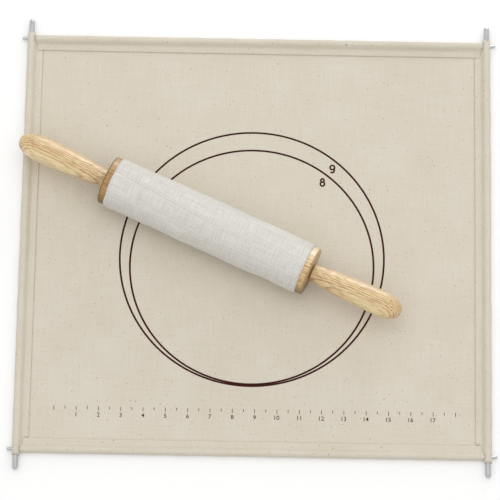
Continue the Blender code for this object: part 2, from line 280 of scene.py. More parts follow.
# Each crossing is a small pillow, light on top, with a shaded gap between it and its neighbours.
pillow = add(canvas, "Math", {0: crossing.outputs[0]}, operation="ABSOLUTE")
gaps = add(canvas, "MapRange", {0: pillow.outputs[0], 1: 0.35, 2: 0.05, 4: 0.42})
woven = add(canvas, "Mix", {0: gaps.outputs[0], 6: flecked.outputs[2], 7: linear("AFA286")}, data_type="RGBA")
thread_height = add(canvas, "Math", {0: pillow.outputs[0], 1: both_slubs.outputs[0]}, operation="ADD")
canvas_bump = add(canvas, "Bump", {"Height": thread_height.outputs[0], "Strength": 0.45, "Distance": 0.12 * MM})
feed(canvas, canvas_shader, colour=woven.outputs[2], bump=canvas_bump.outputs[0])
print("canvas weave: one thread every", round(THREAD_PITCH / MM, 2), "mm")

# %% [markdown]
# ## The canvas, sewn round its rods
#
# On the real object this is one cloth with its corners cut out, so it is made here as one sheet too. It starts as a
# grid, the working area. Then each edge of the grid is pulled outwards, extrusion by extrusion, along the path that
# a hem takes: under the rod, round it and back down onto the cloth, where it is sewn. A Solidify modifier gives the
# sheet its thickness at the end, which keeps the path easy to write, because it is only the middle of the cloth.

# %% The path of a hem
HEM_LOW = CANVAS / 2
FLAP_HEIGHT = CANVAS + PLY_GAP + CANVAS / 2
CASING_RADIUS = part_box("right_casing")[1].x - SIDE_ROD_X - CANVAS / 2
HEM_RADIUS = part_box("back_hem")[1].y - CROSS_ROD_Y - CANVAS / 2
WRAP_START, WRAP_END, WRAP_STEPS = math.radians(-90), math.radians(140), 12
FLAP_FOOT = 4.2 * MM  # how far in from the tube the flap comes down on the cloth
LEAVE_TUBE, MEET_CLOTH = 2.4 * MM, 2.6 * MM  # how long the curve's two handles are


def hem_path(radius, seam_reach):
    """(outwards from the rod, up) for the cloth's middle: under a rod, round it, down and in along the cloth."""
    centre = HEM_LOW + radius
    path = [(-radius, HEM_LOW), (-radius / 2, HEM_LOW)]
    for step in range(WRAP_STEPS + 1):
        angle = WRAP_START + (WRAP_END - WRAP_START) * step / WRAP_STEPS
        path.append((radius * math.cos(angle), centre + radius * math.sin(angle)))
    top, foot = Vector(path[-1]), Vector((-radius - FLAP_FOOT, FLAP_HEIGHT))
    leave = top + Vector((-math.sin(WRAP_END), math.cos(WRAP_END))) * LEAVE_TUBE
    arrive = foot + Vector((MEET_CLOTH, 0.0))
    path += [(p.x, p.y) for p in interpolate_bezier(top, leave, arrive, foot, 7)][1:]
    path += [(foot.x - (seam_reach + foot.x) * share, FLAP_HEIGHT) for share in (0.35, 0.7, 1.0)]
    return path


casing_path = hem_path(CASING_RADIUS, SIDE_ROD_X - SEAM_X)
hem_path_points = hem_path(HEM_RADIUS, CROSS_ROD_Y - SEAM_Y)
casing_length = sum(math.dist(a, b) for a, b in zip(casing_path, casing_path[1:]))
print("a casing takes", round(casing_length / MM, 1), "mm of cloth")

# %% Lay out the cloth
GRID_STEP = 3.5 * MM

cloth = bmesh.new()
flat_cut = cloth.verts.layers.float_vector.new("flat_cut_place")
bmesh.ops.create_grid(
    cloth,
    x_segments=round(2 * CLOTH_HALF_X / GRID_STEP),
    y_segments=round(2 * CLOTH_HALF_Y / GRID_STEP),
    size=1.0,
    matrix=Matrix.Diagonal((CLOTH_HALF_X, CLOTH_HALF_Y, 1.0, 1.0)),
)
for point in cloth.verts:
    point[flat_cut] = (point.co.x, point.co.y, 0.0)
    point.co.z = HEM_LOW + lie(point.co.x, point.co.y)


def edge_of_grid(outwards, half):
    """The edges of the flat grid on one of its four sides."""
    return [
        edge
        for edge in cloth.edges
        if edge.is_boundary and all(abs(v.co.dot(outwards) - half) < 0.1 * MM for v in edge.verts)
    ]


# %% Wrap its edges round the rods
UNDER_POINTS = 2  # a path's first points, under the rod
TUBE_POINTS = UNDER_POINTS + WRAP_STEPS + 1  # those and the ones round the rod
BEND_POINTS, FLAP_POINTS = 5, 5  # the next ones, where it bends back down, and the last ones, on the cloth
TUBE_SLACK = 0.35 * MM
SLACK_CHANGE = (55, 160, 7)  # per metre along the rod, per metre outwards, and from one rod to another


def wrap_round_rod(edges, outwards, rod_place, path, half_length, half_seam):
    """Extrudes one side of the cloth along the path of its hem. The folded edge may be shorter than the tube."""
    along = Vector((abs(outwards.y), abs(outwards.x), 0.0))
    reach = max(v.co.dot(along) for edge in edges for v in edge.verts)
    before = (edges[0].verts[0].co.dot(outwards) - rod_place, HEM_LOW)
    for count, point in enumerate(path):
        made = bmesh.ops.extrude_edge_only(cloth, edges=edges)["geom"]
        new = {item for item in made if isinstance(item, bmesh.types.BMVert)}
        edges = [
            item for item in made if isinstance(item, bmesh.types.BMEdge) and all(v in new for v in item.verts)
        ]
        folded = smooth_step(TUBE_POINTS, TUBE_POINTS + BEND_POINTS, count)
        next_reach = half_length + (half_seam - half_length) * folded
        used = math.dist(before, point)
        for vert in new:
            place_along = vert.co.dot(along) * next_reach / reach
            slack = 0.0
            if UNDER_POINTS < count < TUBE_POINTS + BEND_POINTS:
                wave = [a * b for a, b in zip((place_along, point[0], rod_place), SLACK_CHANGE)]
                slack = TUBE_SLACK * noise.noise(Vector(wave))
            spot = outwards * (rod_place + point[0] * (1 + slack / CASING_RADIUS)) + along * place_along
            up = point[1] + max(slack, 0.0)
            if count >= len(path) - FLAP_POINTS:
                up += lie(spot.x, spot.y)
            vert.co = (spot.x, spot.y, up)
            vert[flat_cut] = Vector(vert[flat_cut]) + outwards * used
        before, reach = point, next_reach


casing_side = (CLOTH_HALF_X, SIDE_ROD_X, casing_path, CASING_HALF_Y, CASING_SEAM_HALF_Y)
hem_side = (CLOTH_HALF_Y, CROSS_ROD_Y, hem_path_points, HEM_HALF_X, HEM_HALF_X)
sides = [(Vector((sign, 0, 0)), *casing_side) for sign in (1, -1)]
sides += [(Vector((0, sign, 0)), *hem_side) for sign in (1, -1)]
found = [edge_of_grid(outwards, half) for outwards, half, *_ in sides]
for edges, (outwards, _, *rest) in zip(found, sides):
    wrap_round_rod(edges, outwards, *rest)
print("the wrapped cloth has", len(cloth.faces), "faces before it gets its thickness")

# %% Finish the cloth
bmesh.ops.recalc_face_normals(cloth, faces=cloth.faces)
uv_map = cloth.loops.layers.uv.new("flat_cut")
for face in cloth.faces:
    for loop in face.loops:
        loop[uv_map].uv = loop.vert[flat_cut].xy
cut_area = sum(face.calc_area() for face in cloth.faces)

pastry_cloth = make_piece("pastry_cloth", cloth, canvas, "frame")
give_thickness(pastry_cloth, CANVAS, 0.0)
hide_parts("canvas_cloth", "left_casing", "right_casing", "front_hem", "back_hem")

# %% [markdown]
# ## Stitching
#
# Each hem is held by a row of lock stitches in a thick cream thread, near the inner edge of the fold. A stitch is a
# short piece of thread that comes up through the cloth and goes down again, so it looks like a grain of rice. There
# are hundreds, so each one is only a small ball with few faces, stretched to that shape and sunk into the cloth by
# half. Their angles and lengths differ a little, as on any sewing machine.

# %% Cotton thread
# Cotton thread is matt, and its twist shows as fine slanting bands. At this scale they come 0.4 mm apart.
TWIST_SCALE = 1.1 * MM

thread, thread_shader = start_material("cotton_sewing_thread", {"Roughness": 0.8, "IOR": 1.5, "Sheen Weight": 0.2})
thread_place = add(thread, "TexCoord").outputs["Object"]
twist = add(
    thread,
    "TexWave",
    {"Vector": thread_place, "Scale": 1 / TWIST_SCALE, "Distortion": 2.0, "Detail": 1.0},
    bands_direction="DIAGONAL",
)
thread_tint = add(
    thread,
    "Mix",
    {0: twist.outputs["Fac"], 6: linear("D8CEBA"), 7: linear("F4EEDF")},
    data_type="RGBA",
)
twist_bump = add(thread, "Bump", {"Height": twist.outputs["Fac"], "Strength": 0.5, "Distance": 0.08 * MM})
feed(thread, thread_shader, colour=thread_tint.outputs[2], bump=twist_bump.outputs[0])

# %% Sew the rows
STITCH_PITCH, STITCH_LENGTH = 4.0 * MM, 3.2 * MM
STITCH_WIDTH, STITCH_HEIGHT = 0.62 * MM, 0.5 * MM
SEAM_EDGE_MARGIN, ROW_END_MARGIN = 2.6 * MM, 6 * MM
MOST_TURN = 4  # how far a stitch may be turned from its row, in degrees
SHORTEST, LONGEST = 0.9, 1.05  # of the usual length
sewing = random.Random(4)


def sew_row(shape, start, end):
    """Adds stitches in a straight row between two places on the folded hem."""
    row = end - start
    count = round(row.length / STITCH_PITCH)
    for number in range(count):
        spot = start + row * ((number + 0.5) / count)
        spot.z = FLAP_HEIGHT + CANVAS / 2 + lie(spot.x, spot.y)
        angle = math.atan2(row.y, row.x) + math.radians(sewing.uniform(-MOST_TURN, MOST_TURN))
        long = STITCH_LENGTH * sewing.uniform(SHORTEST, LONGEST)
        shaped = Matrix.Diagonal((long, STITCH_WIDTH, STITCH_HEIGHT, 1.0)) @ Matrix.Rotation(math.pi / 2, 4, "Y")
        matrix = Matrix.Translation(spot) @ Matrix.Rotation(angle, 4, "Z") @ shaped
        bmesh.ops.create_uvsphere(shape, u_segments=6, v_segments=5, radius=0.5, matrix=matrix)


stitch_x, stitch_y = SEAM_X + SEAM_EDGE_MARGIN, SEAM_Y + SEAM_EDGE_MARGIN
row_end = HEM_HALF_X - ROW_END_MARGIN
stitches = bmesh.new()
for side in (-1, 1):
    sew_row(stitches, Vector((side * stitch_x, -SEAM_Y, 0.0)), Vector((side * stitch_x, SEAM_Y, 0.0)))
    sew_row(stitches, Vector((-row_end, side * stitch_y, 0.0)), Vector((row_end, side * stitch_y, 0.0)))
hem_stitching = make_piece("hem_stitching", stitches, thread, "frame")

# %% [markdown]
# ## The printed guides
#
# The guides are screen printed in a dark brown ink: two thin circles, each with a figure for its pie size, and an
# inch ruler. They could be painted by the canvas material, but figures need real outlines, so all of the print is a
# film of ink laid on the cloth. A circle is two points spun round its middle. The two big figures are drawn in the
# same way, as with a pen: two points, as far apart as the line is wide, are spun about one centre after another. The
# ruler's small figures are text objects made into meshes. Every point of the film asks the cloth how high it lies,
# so the film follows each wave.
#
# The two circles touch at the front, because the smaller one is set forward of the other's middle.

# %% Ink
# Ink pressed into cloth is matt and covers it a little unevenly, so its brown is lighter in small spots.
INK_SPOT = 0.9 * MM

ink, ink_shader = start_material(
    "screen_printed_brown_ink",
    {"Roughness": 0.9, "IOR": 1.5, "Specular IOR Level": 0.2},
)
ink_place = add(ink, "TexCoord").outputs["Object"]
ink_cover = add(ink, "TexNoise", {"Vector": ink_place, "Scale": 1 / INK_SPOT, "Detail": 2.0})
ink_cover = add(ink, "MapRange", {0: ink_cover.outputs["Fac"], 1: 0.35, 2: 0.75})
ink_tint = add(ink, "Mix", {0: ink_cover.outputs[0], 6: linear("32100A"), 7: linear("4C2016")}, data_type="RGBA")
ink_bump = add(ink, "Bump", {"Height": ink_cover.outputs[0], "Strength": 0.3, "Distance": 0.05 * MM})
feed(ink, ink_shader, colour=ink_tint.outputs[2], bump=ink_bump.outputs[0])

# %% Lay a film of ink
INK_FILM = 0.06 * MM


def lay_on_cloth(name, shape):
    """Puts each point of a flat print on the cloth and gives the print the thickness of a film of ink."""
    for point in shape.verts:
        point.co.z += CANVAS + lie(point.co.x, point.co.y) + INK_FILM
    shape.normal_update()
    bmesh.ops.reverse_faces(shape, faces=[face for face in shape.faces if face.normal.z < 0])
    film = make_piece(name, shape, ink, "frame")
    return give_thickness(film, INK_FILM, -1.0, even=False)


# %% The two circles
LINE_WIDTH, CIRCLE_STEPS = 2.2 * MM, 288
SAME_PLACE = 0.001 * MM  # points nearer to each other than this are made one


def spin_round(shape, parts, axis, centre, steps):
    """Spins points and lines once all the way round, and makes one of the points that meet."""
    bmesh.ops.spin(shape, geom=parts, axis=axis, cent=centre, angle=math.tau, steps=steps, use_merge=True)
    bmesh.ops.remove_doubles(shape, verts=shape.verts, dist=SAME_PLACE)


# Each circle: how far its middle is to the right and to the back, and its radius, in mm.
CIRCLES = (("circle_for_pie_size_9", -3.95, -16.1, 152.4), ("circle_for_pie_size_8", -3.95, -25.9, 140.5))
for name, *sizes in CIRCLES:
    x, y, radius = (value * MM for value in sizes)
    ring = bmesh.new()
    pair = [ring.verts.new((x + radius + LINE_WIDTH * share, y, 0.0)) for share in (-0.5, 0.5)]
    line = ring.edges.new(pair)
    spin_round(ring, pair + [line], (0, 0, 1), (x, y, 0), CIRCLE_STEPS)
    lay_on_cloth(name, ring)

# %% The two big figures
PEN_WIDTH, STROKE_STEP = 1.95 * MM, 9  # a step for each so many degrees of an arc
STROKE_LIFT = 0.02 * MM  # where two strokes of a figure cross, the second lies on the first
# Each stroke: where it starts, from the figure's place, and its arcs, as radius and turn, in mm and degrees.
BIG_FIGURES = (
    ("figure_9", (87.8, 93.6), (((2.6, 1.8), ((2.6, 360),)), ((2.6, 1.8), ((20, -13.5), (2.1, -140))))),
    ("figure_8", (76.5, 77.0), (((1.95, 2.45), ((1.95, 360),)), ((2.45, -1.95), ((2.45, 360),)))),
)


def pen_stroke(shape, start, arcs):
    """Draws a stroke as a pen would: two points, the width of the pen apart, spun about one centre after another."""
    outwards = Vector((1.0, 0.0, 0.0))
    ends = [shape.verts.new(start + outwards * PEN_WIDTH * share) for share in (-0.5, 0.5)]
    drawn, place = ends + [shape.edges.new(ends)], start
    for radius, turn in arcs:
        centre, angle = place - outwards * radius * MM, math.radians(turn)
        drawn = bmesh.ops.spin(
            shape,
            geom=drawn,
            axis=(0, 0, 1),
            cent=centre,
            angle=angle,
            steps=max(3, round(abs(turn) / STROKE_STEP)),
            use_merge=turn == 360,
        )["geom_last"]
        outwards.rotate(Quaternion((0, 0, 1), angle))
        place = centre + outwards * radius * MM


for name, (x, y), strokes in BIG_FIGURES:
    flat = bmesh.new()
    for count, ((right, up), arcs) in enumerate(strokes):
        pen_stroke(flat, Vector(((x + right) * MM, (y + up) * MM, count * STROKE_LIFT)), arcs)
    bmesh.ops.remove_doubles(flat, verts=flat.verts, dist=SAME_PLACE)
    lay_on_cloth(name, flat)

# %% The ruler's marks
INCH = 25.4 * MM
RULER_INCHES = 18
RULER_TOP, NINE_INCH_X = -195.6 * MM, 2.3 * MM
INCH_TICK, HALF_INCH_TICK, TICK_WIDTH = 5.0 * MM, 3.4 * MM, 0.65 * MM


def at_inch(inches):
    """How far to the right a place on the ruler is. It is measured from the ruler's middle, at nine inches."""
    return NINE_INCH_X + (inches - 9) * INCH


ruler = bmesh.new()
for half_inches in range(2 * RULER_INCHES + 1):
    length = HALF_INCH_TICK if half_inches % 2 else INCH_TICK
    spot = Matrix.Translation((at_inch(half_inches / 2), RULER_TOP - length / 2, 0.0))
    tick = Matrix.Diagonal((TICK_WIDTH, length, 1.0, 1.0))
    bmesh.ops.create_grid(ruler, x_segments=1, y_segments=2, size=0.5, matrix=spot @ tick)
lay_on_cloth("ruler_ticks", ruler)

# %% The ruler's figures
FIGURE_HEIGHT, FIGURE_LINE = 5.0 * MM, -205.1 * MM
FIGURE_WEIGHT = 0.006  # how much the outlines are fattened, on letters of size 1


def add_figure(shape, words, x, y):
    """Adds upright figures, centred on a place, to a flat print."""
    curve = bpy.data.curves.new("figures", "FONT")
    curve.body = words
    curve.offset = FIGURE_WEIGHT
    letters = bpy.data.objects.new("figures", curve)
    mesh = bpy.data.meshes.new_from_object(letters)
    lows = [min(v.co[i] for v in mesh.vertices) for i in (0, 1)]
    highs = [max(v.co[i] for v in mesh.vertices) for i in (0, 1)]
    scale = FIGURE_HEIGHT / (highs[1] - lows[1])
    centre = Vector(((lows[0] + highs[0]) / 2, (lows[1] + highs[1]) / 2, 0.0))
    mesh.transform(Matrix.Translation((x, y, 0.0)) @ Matrix.Scale(scale, 4) @ Matrix.Translation(-centre))
    shape.from_mesh(mesh)
    bpy.data.objects.remove(letters)
    bpy.data.meshes.remove(mesh)
    bpy.data.curves.remove(curve)


numbers = bmesh.new()
for inches in range(1, RULER_INCHES):
    add_figure(numbers, str(inches), at_inch(inches), FIGURE_LINE)
bmesh.ops.remove_doubles(numbers, verts=numbers.verts, dist=SAME_PLACE)
lay_on_cloth("ruler_figures", numbers)

# %% [markdown]
# ## The cotton sleeve
#
# The sleeve is a tube of soft cotton, pulled over the roller so that flour stays in its nap. Its weave runs in faint
# slanting ribs, and no thread is quite like the next. It fits snugly, but it is cloth: its outline is a little
# uneven, its two cut ends aren't quite straight and are drawn in slightly, and it keeps a few creases along its
# length from when it was folded flat. Washed cotton is an off-white without shine, only a soft bloom at a low angle.
#
# It is an open line of points spun round the pin's axis, then pushed in and out by small waves. Where it meets the
# canvas under the pin it stays round, so nothing cuts into its neighbour.

# %% Sleeve cotton
RIB_PITCH, RIB_SLANT = 2.2 * MM, math.radians(62.3)
WAVE_UNIT = math.tau / 20  # at this scale a wave texture has one band for each unit of length
NAP_SIZE, FUZZ_SIZE = 11 * MM, 1.3 * MM
# The streaks of the threads: how far they reach round the sleeve and along it, and the detail of their noise.
STREAKS_ALONG, STREAKS_ROUND = (2.4 * MM, 45 * MM, 3.0), (22 * MM, 1.1 * MM, 2.0)

cotton, sleeve_shader = start_material(
    "soft_twill_cotton_sleeve",
    {"Roughness": 0.95, "IOR": 1.47, "Sheen Weight": 0.2, "Sheen Roughness": 0.6},
)
sleeve_place = add(cotton, "UVMap", uv_map="round_and_along").outputs["UV"]
slanted = add(
    cotton,
    "Mapping",
    {"Vector": sleeve_place, "Rotation": (0, 0, RIB_SLANT), "Scale": (1 / RIB_PITCH, 1 / RIB_PITCH, 1)},
)
ribs = add(
    cotton,
    "TexWave",
    {"Vector": slanted.outputs[0], "Scale": WAVE_UNIT, "Distortion": 1.5, "Detail": 3.0, "Detail Scale": 2.0},
    bands_direction="X",
).outputs["Fac"]
streaks = []
for round_it, along_it, detail in (STREAKS_ALONG, STREAKS_ROUND):
    scale = (1 / round_it, 1 / along_it, 1)
    stretched = add(cotton, "Mapping", {"Vector": sleeve_place, "Scale": scale})
    streak = add(cotton, "TexNoise", {"Vector": stretched.outputs[0], "Scale": 1.0, "Detail": detail})
    streaks.append(streak.outputs["Fac"])
threads_along, sleeve_tone = streaks
nap = add(cotton, "TexNoise", {"Vector": sleeve_place, "Scale": 1 / NAP_SIZE, "Detail": 3.0})
fuzz = add(cotton, "TexNoise", {"Vector": sleeve_place, "Scale": 1 / FUZZ_SIZE, "Detail": 1.0})
nap, fuzz = nap.outputs["Fac"], fuzz.outputs["Fac"]

# The threads round the sleeve set its tone, and the rest is added to them, each by its own share.
for source, share in ((threads_along, 0.65), (ribs, 0.4), (fuzz, 1.19), (nap, 0.35)):
    mixed = add(cotton, "Math", {0: source, 1: share, 2: sleeve_tone}, operation="MULTIPLY_ADD")
    sleeve_tone = mixed.outputs[0]
sleeve_tone = add(cotton, "MapRange", {0: sleeve_tone, 1: 1.29, 2: 2.29})
sleeve_tint = add(
    cotton,
    "Mix",
    {0: sleeve_tone.outputs[0], 6: linear("C6C2B9"), 7: linear("EFECE6")},
    data_type="RGBA",
)
print("sleeve ribs every", round(RIB_PITCH / MM, 1), "mm")

# %% Where the sleeve was folded flat
# Three faint creases run nearly along the sleeve. Their darker colour is partly dirt and partly painted shade of the
# folds, and it fades towards the right.
FOLD_SKEW = math.radians(-4.7)
FOLDS = ((-4.6, 0.55), (-1.4, 0.4), (9.5, 0.3))  # how far round from the top, in mm, and how dark
FOLD_CORE, FOLD_EDGE = 0.2 * MM, 0.9 * MM
FADED_FROM, FULL_UP_TO, FADED_SHARE = 60 * MM, -30 * MM, 0.15

folds = add(cotton, "Mapping", {"Vector": sleeve_place, "Rotation": (0, 0, FOLD_SKEW)})
folds = add(cotton, "SeparateXYZ", {0: folds.outputs[0]}).outputs
fading = add(cotton, "MapRange", {0: folds["Y"], 1: FADED_FROM, 2: FULL_UP_TO, 3: FADED_SHARE})
fold_dirt_and_shade = add(cotton, "Math", {0: fading.outputs[0], 1: threads_along}, operation="MULTIPLY")
sleeve_colour = sleeve_tint.outputs[2]
for fold_place, depth in FOLDS:
    aside = add(cotton, "Math", {0: folds["X"], 1: fold_place * MM}, operation="SUBTRACT")
    aside = add(cotton, "Math", {0: aside.outputs[0]}, operation="ABSOLUTE")
    crease = add(cotton, "MapRange", {0: aside.outputs[0], 1: FOLD_EDGE, 2: FOLD_CORE, 4: depth})
    crease = add(cotton, "Math", {0: crease.outputs[0], 1: fold_dirt_and_shade.outputs[0]}, operation="MULTIPLY")
    darkened = add(cotton, "Mix", {0: crease.outputs[0], 6: sleeve_colour, 7: linear("9C9484")}, data_type="RGBA")
    sleeve_colour = darkened.outputs[2]
rib_height = add(cotton, "Math", {0: ribs, 1: threads_along}, operation="ADD")
sleeve_bump = add(cotton, "Bump", {"Height": rib_height.outputs[0], "Strength": 0.3, "Distance": 0.12 * MM})
feed(cotton, sleeve_shader, colour=sleeve_colour, bump=sleeve_bump.outputs[0])

# %% Spin the sleeve
SLEEVE_THICKNESS = 0.8 * MM
SLEEVE_RADIUS = size("roller_cover").z / 2
ROLLER_HALF, LEFT_BAND, RIGHT_BAND = 129.5 * MM, 8.3 * MM, 7.6 * MM
SLEEVE_STEPS, SLEEVE_TURNS = 96, 144
sleeve_start, sleeve_end = -ROLLER_HALF + LEFT_BAND, ROLLER_HALF - RIGHT_BAND

sleeve = bmesh.new()
line = [
    sleeve.verts.new((sleeve_start + (sleeve_end - sleeve_start) * step / SLEEVE_STEPS, 0.0, SLEEVE_RADIUS))
    for step in range(SLEEVE_STEPS + 1)
]
seams = [sleeve.edges.new(pair) for pair in zip(line, line[1:])]
spin_round(sleeve, line + seams, (1, 0, 0), (0, 0, 0), SLEEVE_TURNS)
bmesh.ops.recalc_face_normals(sleeve, faces=sleeve.faces)

# %% Unroll it for its weave
sleeve_map = sleeve.loops.layers.uv.new("round_and_along")
for face in sleeve.faces:
    turns = [math.atan2(loop.vert.co.y, loop.vert.co.z) for loop in face.loops]
    wrapped = max(turns) - min(turns) > math.pi
    for loop, turn in zip(face.loops, turns):
        turn += math.tau if wrapped and turn < 0 else 0.0
        loop[sleeve_map].uv = (turn * SLEEVE_RADIUS, loop.vert.co.x)
print("the sleeve is", round(math.tau * SLEEVE_RADIUS / MM, 1), "mm round")

# %% Ruffle it
SLACK_WAVES = ((42, 1.6, 1.1), (13, 3.5, 0.3))  # length in mm, how many round the sleeve, and height in mm
SLACK_LOWEST, SLACK_MIDDLE, SLACK_HIGHEST = -0.8 * MM, 0.2 * MM, 0.24 * MM
CREASES = ((24, 0.30), (31, 0.22), (-42, 0.20), (118, 0.25))  # degrees round from the top, and height in mm
CREASE_WIDTH, CREASE_DRIFT, CREASE_BEND = math.radians(2.2), 0.05, 60 * MM
DRAWN_IN = 3.5 * MM  # how soon the drawing in fades from an end
ROUND_BELOW, FREE_ABOVE = math.radians(178), math.radians(140)  # from the top
RAGGED, RAGGED_COUNT, RAGGED_REACH = 0.7 * MM, 2.2, 30 * MM
for point in sleeve.verts:
    along, turn = point.co.x, math.atan2(point.co.y, point.co.z)
    back, up = math.sin(turn), math.cos(turn)
    beside = min(along - sleeve_start, sleeve_end - along)
    swell = -SLACK_MIDDLE
    for length, count, height in SLACK_WAVES:
        swell += height * MM * noise.noise(Vector((along / (length * MM), count * back, count * up)))
    for where, height in CREASES:
        drift = turn - math.radians(where) - CREASE_DRIFT * math.sin(along / CREASE_BEND)
        swell += height * MM * math.exp(-((drift / CREASE_WIDTH) ** 2))
    swell += (SLACK_LOWEST - swell) * math.exp(-beside / DRAWN_IN)
    swell = min(max(swell, SLACK_LOWEST), SLACK_HIGHEST)
    swell *= smooth_step(ROUND_BELOW, FREE_ABOVE, abs(turn))
    point.co.y *= (SLEEVE_RADIUS + swell) / SLEEVE_RADIUS
    point.co.z *= (SLEEVE_RADIUS + swell) / SLEEVE_RADIUS
    ragged = RAGGED * noise.noise(Vector((RAGGED_COUNT * back, RAGGED_COUNT * up, math.copysign(3.0, along))))
    point.co.x += ragged * smooth_step(RAGGED_REACH, 0.0, beside)
bmesh.ops.transform(sleeve, matrix=Matrix.Translation(PIN) @ Matrix.Rotation(PIN_TURN, 4, "Z"), verts=sleeve.verts)

cotton_sleeve = make_piece("cotton_sleeve", sleeve, cotton, "cover")
give_thickness(cotton_sleeve, SLEEVE_THICKNESS, -1.0)
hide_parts("roller_cover")

# %% [markdown]
# ## Turned wood
#
# The pin is a pale, open-grained hardwood, turned on a lathe, sanded and lightly oiled. A tree's growth rings are
# long nested tubes, and the lathe cuts through them, so the pattern has to be solid: it is drawn in space, as a
# distance from the heart of the tree, which lies well outside the piece. Where the handle swells, the cut goes
# through more rings, and they close into the long arches that turned wood shows. The pores of the early wood show
# as short dark dashes that run with the grain. Real ones are a few tenths of a millimetre wide and would vanish in
# the picture, so they are drawn about 0.8 mm wide.
#
# The sapwood, the tree's outermost rings, is paler than the wood inside it. On the handles it lies on their front
# flank, where its pale colour also stands in for light bounced up from the cloth: painted light. The roller is
# browner towards its left end, and darker on its lower front, which is painted shade of its underside. Its end rims
# are darker too, partly end grain that drank more oil and partly painted shade. On the handles the inner rings, on
# the back flank, are lightened as a painted highlight that widens their shine.
# The handles have a thick coat of oil, which gives them a clear soft shine, and the roller has less.

# %% A recipe for turned wood
RING_PITCH, RING_SWAY = 2.0 * MM, 1.5 * MM
PORE_WIDTH = 0.8 * MM
INNER_RINGS, OPEN_RINGS = 54 * MM, 65 * MM  # from the heart


